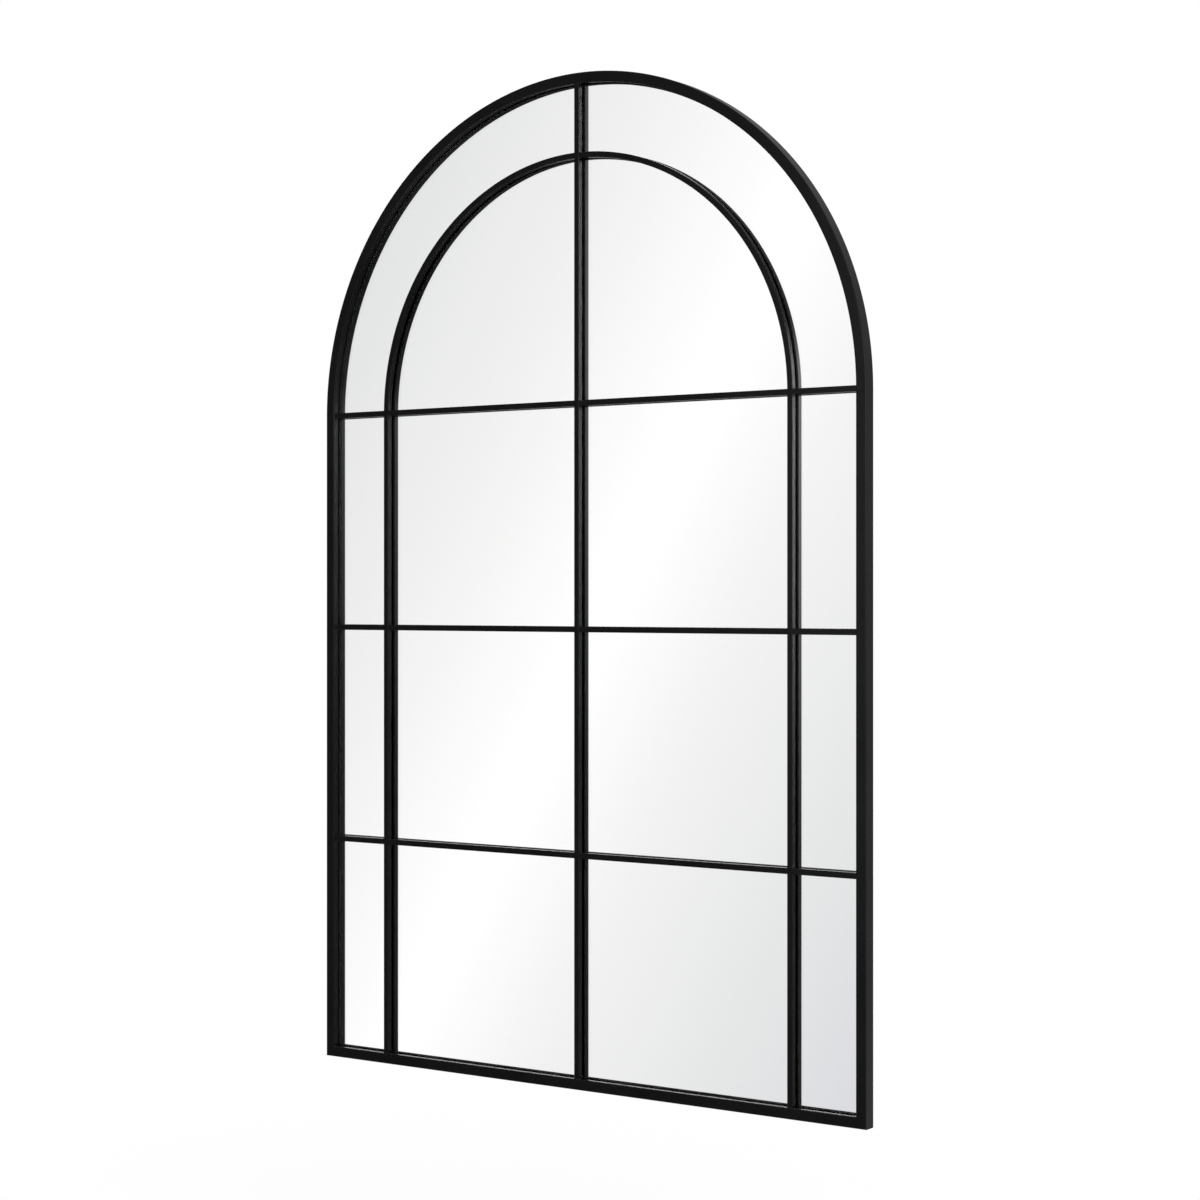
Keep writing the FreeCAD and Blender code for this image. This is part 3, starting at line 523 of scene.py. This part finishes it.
def moulded_rubber(name, grain_count):
    """Black rubber: matt, with a moulded grain, greyed patches, scuffed edges and dust on top."""
    material, tree, sockets = new_finish(name, Specular_IOR_Level=0.35)
    patches = use_group(tree, BLOTCHES, {"Scale": 150.0})
    rub = use_group(tree, EDGE_RUB, {"Radius": 0.6 * MILLIMETRE, "Amount": 0.5, "Scale": 400.0})
    dust = use_group(tree, DUST, {"Amount": 0.12, "Scale": 200.0})
    colour = mix_colour(tree, patches, RUBBER_DEEP, RUBBER_GREYED)
    colour = mix_colour(tree, rub, colour, RUBBER_GREYED)
    tree.links.new(mix_colour(tree, dust, colour, DUST_COLOUR), sockets["Base Color"])
    tree.links.new(map_range(tree, patches, 0.0, 1.0, *RUBBER_ROUGHNESS), sockets["Roughness"])
    set_bump(tree, sockets, use_group(tree, GRAIN, {"Scale": grain_count}), *RUBBER_RELIEF)
    return material


def foam():
    """Closed-cell foam tape: dull black, pitted with fine cells."""
    material, tree, sockets = new_finish("black_foam", Specular_IOR_Level=0.2)
    cells = use_group(tree, GRAIN, {"Scale": 2400.0, "Finer": 0.8})
    tone = map_range(tree, cells, *CELL_SPAN, 0.0, 1.0)
    tree.links.new(mix_colour(tree, tone, FOAM_DEEP, FOAM_GREYED), sockets["Base Color"])
    tree.links.new(map_range(tree, tone, 0.0, 1.0, *FOAM_ROUGHNESS), sockets["Roughness"])
    set_bump(tree, sockets, cells, *FOAM_RELIEF)
    return material


# Surfaces

def grid_faces(rows, columns):
    """Corner numbers of the four-sided faces of a grid whose columns close on themselves."""
    row, column = np.meshgrid(np.arange(rows - 1), np.arange(columns), indexing="ij")
    after = (column + 1) % columns
    below = row * columns
    above = (row + 1) * columns
    corners = [below + column, below + after, above + after, above + column]
    return np.stack(corners, axis=-1).reshape(-1, 4)


def face_outwards(mesh):
    """Every face of a closed mesh turned to look outwards."""
    shell = bmesh.new()
    shell.from_mesh(mesh)
    bmesh.ops.recalc_face_normals(shell, faces=shell.faces)
    shell.to_mesh(mesh)
    shell.free()


def capped_piece(name, rings, smooth_angle, materials):
    """A closed piece from rings of points, as an array of copies x rows x columns x 3: faces between
    neighbouring rings, and one flat face on the first and on the last ring. The first face takes the first
    material, the last face the last, and the faces between the middle one."""
    copies, rows, columns, _ = rings.shape
    sides = grid_faces(rows, columns)
    first = np.arange(columns)[::-1]
    last = np.arange(columns) + (rows - 1) * columns
    faces = []
    for copy in range(copies):
        start = copy * rows * columns
        faces += (sides + start).tolist() + [(first + start).tolist(), (last + start).tolist()]
    mesh = bpy.data.meshes.new(name)
    mesh.from_pydata(rings.reshape(-1, 3).tolist(), [], faces)
    for material in materials:
        mesh.materials.append(material)
    per_copy = len(sides) + 2
    slots = np.full(len(faces), len(materials) // 2, np.int32)
    slots[per_copy - 2::per_copy] = 0
    slots[per_copy - 1::per_copy] = len(materials) - 1
    mesh.polygons.foreach_set("material_index", slots)
    face_outwards(mesh)
    mesh.shade_smooth()
    mesh.set_sharp_from_angle(angle=smooth_angle)
    piece = bpy.data.objects.new(name, mesh)
    bpy.context.scene.collection.objects.link(piece)
    return piece


def rings_of(x, y, z):
    """The three coordinates, each spread over all rows and columns, as the rings of one piece."""
    return np.stack(np.broadcast_arrays(x, y, z), axis=-1)[None]


def arched_slab(half_width, foot, front, back, arris):
    """An arched slab as four rings of its outline: front face and back face drawn in by the arris, edge at
    full size between them. The outline goes up from the right foot, round the half circle about the spring
    line, and down to the left foot."""
    inset = np.array([[arris], [0.0], [0.0], [arris]])
    depth = np.array([[front], [front + arris], [back - arris], [back]])
    angle = np.concatenate([[0.0], np.linspace(0.0, math.pi, ARCH_STEPS), [math.pi]])
    at_foot = np.concatenate([[True], np.zeros(ARCH_STEPS, bool), [True]])
    radius = half_width - inset
    up = np.where(at_foot, foot + inset, SPRING + radius * np.sin(angle))
    return rings_of(radius * np.cos(angle), depth, up)


def glass_pane():
    """The pane. Its back face carries the silver, and lies off the board by the paint that covers it."""
    return arched_slab(glass_high.x, glass_low.z, glass_low.y, glass_high.y - BACK_PAINT, GLASS_ARRIS)


def board_panel():
    """The backing board, which fills the frame but for a hair."""
    half_width = FRAME_INNER - BOARD_GAP
    return arched_slab(half_width, rail_high.z + BOARD_GAP, board_low.y, board_high.y, BOARD_ARRIS)


def rounded_section(width, front, back, edge):
    """The section of a tube or bar: a rectangle whose corners are quarter circles, each turned on by a
    quarter turn from the one before, with a short straight run at both ends of each, so that the flats stay
    flat. Gives the distance across from the middle line, and Y. Front and back may be columns, one row per
    place along the bar."""
    quarter = np.repeat(np.arange(4), CORNER_STEPS + 2) * math.pi / 2
    turn = np.concatenate([[0.0], np.linspace(0.0, math.pi / 2, CORNER_STEPS), [math.pi / 2]])
    angle = quarter + np.tile(turn, 4)
    run = np.tile(np.concatenate([[-FLAT_RUN], np.zeros(CORNER_STEPS), [FLAT_RUN]]), 4)
    sideways = np.sign(np.cos(quarter + math.pi / 4))
    deep = np.sign(np.sin(quarter + math.pi / 4))
    across = sideways * (width / 2 - edge) + edge * np.cos(angle) - run * np.sin(angle)
    middle = (front + back) / 2
    depth = middle + deep * ((back - front) / 2 - edge) + edge * np.sin(angle) + run * np.cos(angle)
    return across, depth


def frame_section():
    """The frame tube's section, the distance across counted outwards from the tube's middle line."""
    return rounded_section(FRAME_FACE, rail_low.y, rail_high.y, TUBE_EDGE)


def stile_tube(side):
    """The tube's section carried up to the spring line from the mitre at the foot, which falls by as much as
    it goes outwards. The side is -1 for left and 1 for right."""
    across, depth = frame_section()
    height = np.stack([RAIL_MIDDLE - across, np.full_like(across, SPRING)])
    return rings_of(side * (FRAME_MIDDLE + across), depth, height)


def rail_tube():
    """The tube's section carried from the left mitre to the right one."""
    across, depth = frame_section()
    ends = np.array([[-1.0], [1.0]])
    return rings_of(ends * (FRAME_MIDDLE + across), depth, RAIL_MIDDLE - across)


def arch_head_tube():
    """The tube's section carried round the half circle about the spring line, from right to left."""
    across, depth = frame_section()
    radius = FRAME_MIDDLE + across
    turn = np.linspace(0.0, math.pi, ARCH_STEPS)[:, None]
    return rings_of(radius * np.cos(turn), depth, SPRING + radius * np.sin(turn))


def notched_places(start, end, crossings, half_notch):
    """Places along a bar as a column, and a column that is 1 within the notches of its lap joints and 0
    elsewhere. A notch's walls lean outwards by a hair."""
    floor = half_notch - LAP_LEAN
    ends = np.asarray(crossings)[:, None] + np.array([-half_notch, -floor, floor, half_notch])
    places = np.concatenate([[start], ends.ravel(), [end]])
    notched = np.concatenate([[0.0], np.tile([0.0, 1.0, 1.0, 0.0], len(crossings)), [0.0]])
    return places[:, None], notched[:, None]


def upright_bar(node, crossings):
    """A square section carried straight up, cut away behind to half its depth where other bars cross it."""
    low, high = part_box(node)
    size = high.y - low.y
    height, notched = notched_places(low.z, high.z, crossings, size / 2 + LAP_CLEARANCE)
    across, depth = rounded_section(high.x - low.x, low.y, high.y - notched * size / 2, BAR_EDGE)
    return rings_of((low.x + high.x) / 2 + across, depth, height)


def level_bar(node, crossings):
    """A square section carried from left to right, cut away in front to half its depth where uprights cross
    it."""
    low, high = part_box(node)
    size = high.y - low.y
    place, notched = notched_places(low.x, high.x, crossings, size / 2 + LAP_CLEARANCE)
    across, depth = rounded_section(high.z - low.z, low.y + notched * size / 2, high.y, BAR_EDGE)
    return rings_of(place, depth, (low.z + high.z) / 2 + across)


def inner_arch_bar():
    """A square section carried round the half circle about the spring line, from the level of its right foot
    to that of its left foot, cut away in front to half its depth at the crown."""
    low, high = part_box("inner_arch")
    size = high.y - low.y
    middle = high.x - size / 2
    half_notch = (size / 2 + LAP_CLEARANCE) / (math.pi * middle)
    floor = half_notch - LAP_LEAN / (math.pi * middle)
    limb = np.linspace(0.0, 0.5 - half_notch, ARCH_STEPS // 2)
    crown = np.array([0.5 - floor, 0.5 + floor])
    share = np.concatenate([limb, crown, 1.0 - limb[::-1]])[:, None]
    notched = np.concatenate([np.zeros_like(limb), np.ones_like(crown), np.zeros_like(limb)])[:, None]
    across, depth = rounded_section(size, low.y + notched * size / 2, high.y, BAR_EDGE)
    radius = middle + across
    foot = np.arcsin((low.z - SPRING) / radius)
    turn = foot + share * (math.pi - 2 * foot)
    return rings_of(radius * np.cos(turn), depth, SPRING + radius * np.sin(turn))


def cross_arm(along, across):
    """1 in the middle of the cross recess and 0 outside one of its arms, which grows shallower outwards and
    has a smooth wall."""
    inside = np.clip((RECESS_ARM_WIDTH - across) / RECESS_EDGE + 0.5, 0.0, 1.0)
    reach = np.clip(1.0 - along / RECESS_ARM_LENGTH, 0.0, 1.0)
    return inside * inside * (3 - 2 * inside) * np.sqrt(reach)


def screw_rings(length):
    """A pan-head screw about +Y with the underside of its head at Y = 0, as rows of rings: from the point up
    the shank, whose radius rises and falls once per pitch along a helix, out under the head, up its rim and
    over an elliptic crown, which sinks smoothly where either arm of a cross covers it."""
    turn = np.linspace(0.0, 2 * math.pi, SCREW_COLUMNS, endpoint=False)
    rise = np.linspace(-length, 0.0, SHANK_ROWS)
    taper = np.clip((rise + length) / SCREW_SHANK_RADIUS, 0.0, 1.0)
    core = SCREW_POINT_RADIUS + (SCREW_SHANK_RADIUS - THREAD_DEPTH - SCREW_POINT_RADIUS) * taper
    crest = 0.5 + 0.5 * np.cos(2 * math.pi * rise[:, None] / THREAD_PITCH - turn[None, :])
    shank_radius = core[:, None] + THREAD_DEPTH * taper[:, None] * crest
    shank_height = np.repeat(rise[:, None], SCREW_COLUMNS, axis=1)

    swing = np.linspace(0.0, 0.5 * math.pi * (1 - 1 / CROWN_ROWS), CROWN_ROWS)
    underside = SCREW_HEAD_RADIUS * SCREW_UNDERSIDE_SHARE
    head_radius = np.concatenate([[underside], SCREW_HEAD_RADIUS * np.cos(swing)])
    crown_rise = SCREW_HEAD_HEIGHT - SCREW_RIM_HEIGHT
    head_height = np.concatenate([[0.0], SCREW_RIM_HEIGHT + crown_rise * np.sin(swing)])
    crown_radius = np.repeat(head_radius[:, None], SCREW_COLUMNS, axis=1)
    x = np.abs(crown_radius * np.cos(turn))
    z = np.abs(crown_radius * np.sin(turn))
    arms = np.maximum(cross_arm(x, z), cross_arm(z, x))
    crown_height = head_height[:, None] - RECESS_DEPTH * arms

    radius = np.concatenate([shank_radius, crown_radius])
    height = np.concatenate([shank_height, crown_height])
    return np.stack([radius * np.sin(turn), height, radius * np.cos(turn)], axis=-1)


def screw_set(name, places, length, material):
    """Copies of the screw at the given places, each turned about its own axis by a seeded amount."""
    turns = np.random.default_rng(SCREW_SEED).uniform(0.0, 2 * math.pi, len(places))
    base = screw_rings(length)
    cos = np.cos(turns)[:, None, None]
    sin = np.sin(turns)[:, None, None]
    x = base[None, ..., 0] * cos - base[None, ..., 2] * sin
    z = base[None, ..., 0] * sin + base[None, ..., 2] * cos
    y = np.broadcast_to(base[None, ..., 1], x.shape)
    rings = np.stack([x, y, z], axis=-1) + np.asarray(places)[:, None, None, :]
    return capped_piece(name, rings, SCREW_ANGLE, [material])


def plate_screw_places(underside):
    """Two screws through each plate, half a spacing to each side of its middle, on the middle line of the
    tube that it lies on."""
    places = []
    for name in PLATES:
        x = middle_of(name, 0)
        z = middle_of(name, 2)
        for offset in (-PLATE_SCREW_SPACING / 2, PLATE_SCREW_SPACING / 2):
            if name.startswith("bottom"):
                across = x + offset
                up = RAIL_MIDDLE
            elif name.startswith("arch"):
                angle = math.atan2(z - SPRING, x)
                across = FRAME_MIDDLE * math.cos(angle) - offset * math.sin(angle)
                up = SPRING + FRAME_MIDDLE * math.sin(angle) + offset * math.cos(angle)
            else:
                across = math.copysign(FRAME_MIDDLE, x)
                up = z + offset
            places.append((across, underside, up))
    return places


def hanger_screw_places(underside):
    """Two screws down each hanger strap, below the ring's axis at Z = 0."""
    places = []
    for name in ("left_hanger_strap", "right_hanger_strap"):
        places += [(middle_of(name, 0), underside, -drop) for drop in HANGER_SCREW_DROPS]
    return places


# Dressing the part

def paint_nodes(material, names):
    """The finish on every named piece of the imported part."""
    for name in names:
        mesh = nodes[name].data
        mesh.materials.clear()
        mesh.materials.append(material)


def fit_piece(piece, node):
    """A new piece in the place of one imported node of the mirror."""
    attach(piece, "mirror")
    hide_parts(node)


paint_nodes(foam(), nodes_of("_tape"))
paint_nodes(moulded_rubber("setting_block_rubber", BLOCK_GRAIN), nodes_of("_setting_block"))
paint_nodes(moulded_rubber("bumper_rubber", BUMPER_GRAIN), nodes_of("_bumper"))
paint_nodes(zinc_plate("plate_zinc", PLATE_LINES, PLATE_ROUGHNESS), PLATES)
paint_nodes(zinc_plate("strap_zinc", STRAP_LINES, STRAP_ROUGHNESS), nodes_of("_hanger_strap"))
paint_nodes(zinc_plate("ring_zinc", RING_LINES, RING_ROUGHNESS), nodes_of("_d_ring"))

frame_black = satin_black("frame_satin_black", FRAME_PATCHES)
frame_tubes = {
    "left_stile": stile_tube(-1),
    "right_stile": stile_tube(1),
    "bottom_rail": rail_tube(),
    "arch_head": arch_head_tube(),
}
for node, rings in frame_tubes.items():
    fit_piece(capped_piece(node + "_tube", rings, SWEEP_ANGLE, [frame_black]), node)

bar_black = satin_black("bar_satin_black", BAR_PATCHES)
uprights = [middle_of(node, 0) for node in ("left_bar", "centre_bar", "right_bar")]
levels = [middle_of(node, 2) for node in ("lower_crossbar", "middle_crossbar", "upper_crossbar")]
arch_low, arch_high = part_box("inner_arch")
crown_level = arch_high.z - (arch_high.y - arch_low.y) / 2
grille_bars = {
    "left_bar": upright_bar("left_bar", levels[:2]),
    "centre_bar": upright_bar("centre_bar", levels + [crown_level]),
    "right_bar": upright_bar("right_bar", levels[:2]),
    "lower_crossbar": level_bar("lower_crossbar", uprights),
    "middle_crossbar": level_bar("middle_crossbar", uprights),
    "upper_crossbar": level_bar("upper_crossbar", uprights[1:2]),
    "inner_arch": inner_arch_bar(),
}
for node, rings in grille_bars.items():
    fit_piece(capped_piece(node + "_section", rings, SWEEP_ANGLE, [bar_black]), node)

# The pane's edge and arrises take the painted shade: a black finish in place of the clear glass edge
pane = capped_piece("mirror_pane", glass_pane(), PANE_ANGLE, [clear_glass(), painted_edge_shade(), silvering()])
fit_piece(pane, "mirror_glass")

board = capped_piece("backing_board_panel", board_panel(), PANE_ANGLE, [fibreboard()])
fit_piece(board, "backing_board")

screw_zinc = zinc_plate("screw_zinc", SCREW_LINES, SCREW_ROUGHNESS)
for node, finder in (("plate_screws", plate_screw_places), ("hanger_screws", hanger_screw_places)):
    low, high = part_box(node)
    underside = high.y - SCREW_HEAD_HEIGHT
    screws = screw_set(node + "_cross_head", finder(underside), underside - low.y, screw_zinc)
    fit_piece(screws, node)


# Studio

def floor_disc():
    """A round floor below the mirror: white to the camera, but for the mirror's own soft shadow."""
    turn = np.linspace(0.0, 2 * math.pi, FLOOR_SIDES, endpoint=False)
    level = np.full_like(turn, cad_low.z - FLOOR_DROP)
    ring = np.stack([FLOOR_RADIUS * np.cos(turn), FLOOR_RADIUS * np.sin(turn), level], axis=-1)
    mesh = bpy.data.meshes.new("floor")
    mesh.from_pydata(ring.tolist(), [], [list(range(len(turn)))])
    material = bpy.data.materials.new("pale_floor")
    material.use_nodes = True
    tree = material.node_tree
    tree.nodes.clear()
    camera_ray = add_node(tree, "ShaderNodeLightPath").outputs["Is Camera Ray"]
    spread = add_node(tree, "ShaderNodeVectorMath", {0: object_place(tree)}, operation="LENGTH")
    fade = map_range(tree, spread.outputs["Value"], SHADOW_REACH, SHADOW_END, SHADOW_WHITENING, 1.0)
    whitening = combine(tree, "MULTIPLY", camera_ray, fade)
    paper = add_node(tree, "ShaderNodeBsdfDiffuse", {"Color": FLOOR_COLOUR}).outputs[0]
    white = add_node(tree, "ShaderNodeEmission", {"Color": WHITE, "Strength": 1.0}).outputs[0]
    mixed = add_node(tree, "ShaderNodeMixShader", {0: whitening, 1: paper, 2: white}).outputs[0]
    add_node(tree, "ShaderNodeOutputMaterial", {"Surface": mixed})
    mesh.materials.append(material)
    floor = bpy.data.objects.new("floor", mesh)
    floor.visible_transmission = False
    floor.visible_glossy = False
    bpy.context.scene.collection.objects.link(floor)


def in_front(turn, rise):
    """The direction out of the mirror's face, turned to the right and raised by two angles."""
    return (math.sin(turn) * math.cos(rise), -math.cos(turn) * math.cos(rise), math.sin(rise))


def ramp(tree, value, stops):
    """The colour at a value between stops of place and colour."""
    low = stops[0][0]
    high = stops[-1][0]
    node = add_node(tree, "ShaderNodeValToRGB", {"Fac": map_range(tree, value, low, high, 0.0, 1.0)})
    elements = node.color_ramp.elements
    while len(elements) < len(stops):
        elements.new(0.5)
    for element, (place, colour) in zip(elements, stops):
        element.position = (place - low) / (high - low)
        element.color = colour
    return node.outputs["Color"]


def studio_world():
    """White room: even light, white behind the mirror, for gloss a grey room with a dim side and two soft
    boxes, and for what the glass shows a slanted white band that falls to pale grey on both sides."""
    world = bpy.data.worlds.new("studio")
    bpy.context.scene.world = world
    world.use_nodes = True
    tree = world.node_tree
    tree.nodes.clear()
    direction = add_node(tree, "ShaderNodeTexCoord").outputs["Generated"]
    path = add_node(tree, "ShaderNodeLightPath").outputs

    # The dim side is where the front faces send the camera's sight, the first soft box where the bars' sides
    # send it
    slope = along_axis(tree, direction, (0.0, 0.0, 1.0))
    before = map_range(tree, along_axis(tree, direction, in_front(0.0, 0.0)), *FRONT_REACH, 0.0, 1.0)
    gloss = mix_colour(tree, before, ramp(tree, slope, BACK_STOPS), ramp(tree, slope, FRONT_STOPS))
    towards_dim = along_axis(tree, direction, in_front(DIM_TURN, DIM_RISE))
    gloss = mix_colour(tree, map_range(tree, towards_dim, *DIM_REACH, 0.0, 1.0), gloss, DIM_GLOSS)
    for turn, rise, none, full, strength in SOFTBOXES:
        towards_box = along_axis(tree, direction, in_front(math.radians(turn), math.radians(rise)))
        glow = map_range(tree, towards_box, none, full, 0.0, strength)
        gloss = add_node(tree, "ShaderNodeVectorMath", {0: gloss, 1: glow}, operation="ADD").outputs[0]

    # Across the band: the camera's right-hand direction as the mirror turns it, tipped by the band's slant
    axis = (math.cos(CAMERA_TURN), -math.sin(CAMERA_TURN), -SHEEN_TILT)
    sheen = ramp(tree, along_axis(tree, direction, axis), SHEEN_STOPS)

    # The glass shows the band itself, after an odd count of mirrorings; paint that is seen first makes the
    # count even, and finds a grey room in the glass
    light = mix_colour(tree, path["Is Glossy Ray"], ROOM_LIGHT, gloss)
    facing = map_range(tree, towards_dim, *FOUND_REACH, 0.0, 1.0)
    found = mix_colour(tree, facing, gloss, ramp(tree, slope, FOUND_STOPS))
    odd = combine(tree, "MODULO", path["Glossy Depth"], 2.0)
    light = mix_colour(tree, path["Is Transmission Ray"], light, mix_colour(tree, odd, found, sheen))
    light = mix_colour(tree, path["Is Camera Ray"], light, WHITE)
    background = add_node(tree, "ShaderNodeBackground", {"Color": light, "Strength": 1.0})
    add_node(tree, "ShaderNodeOutputWorld", {"Surface": background.outputs[0]})


def soft_lamp(name, place, size, power):
    """A square lamp aimed at the middle of the mirror, itself unseen by the camera and in the glass."""
    data = bpy.data.lights.new(name, "AREA")
    data.size = size
    data.energy = power
    lamp = bpy.data.objects.new(name, data)
    bpy.context.scene.collection.objects.link(lamp)
    target = (cad_low + cad_high) / 2
    lamp.location = place
    lamp.rotation_euler = (target - lamp.location).to_track_quat("-Z", "Y").to_euler()
    lamp.visible_camera = False
    lamp.visible_glossy = False
    lamp.visible_transmission = False


def photo_camera():
    """A level camera that stands to the right of the mirror."""
    data = bpy.data.cameras.new("camera")
    data.lens = LENS_MM
    data.sensor_width = SENSOR_MM
    data.shift_y = HORIZON_SHIFT
    camera = bpy.data.objects.new("camera", data)
    camera.location = CAMERA_PLACE
    camera.rotation_euler = (math.pi / 2, 0.0, CAMERA_TURN)
    bpy.context.scene.collection.objects.link(camera)
    bpy.context.scene.camera = camera


floor_disc()
studio_world()
for name, (place, size, power) in LAMPS.items():
    soft_lamp(name, place, size, power)
photo_camera()
bpy.context.scene.view_settings.view_transform = "Standard"
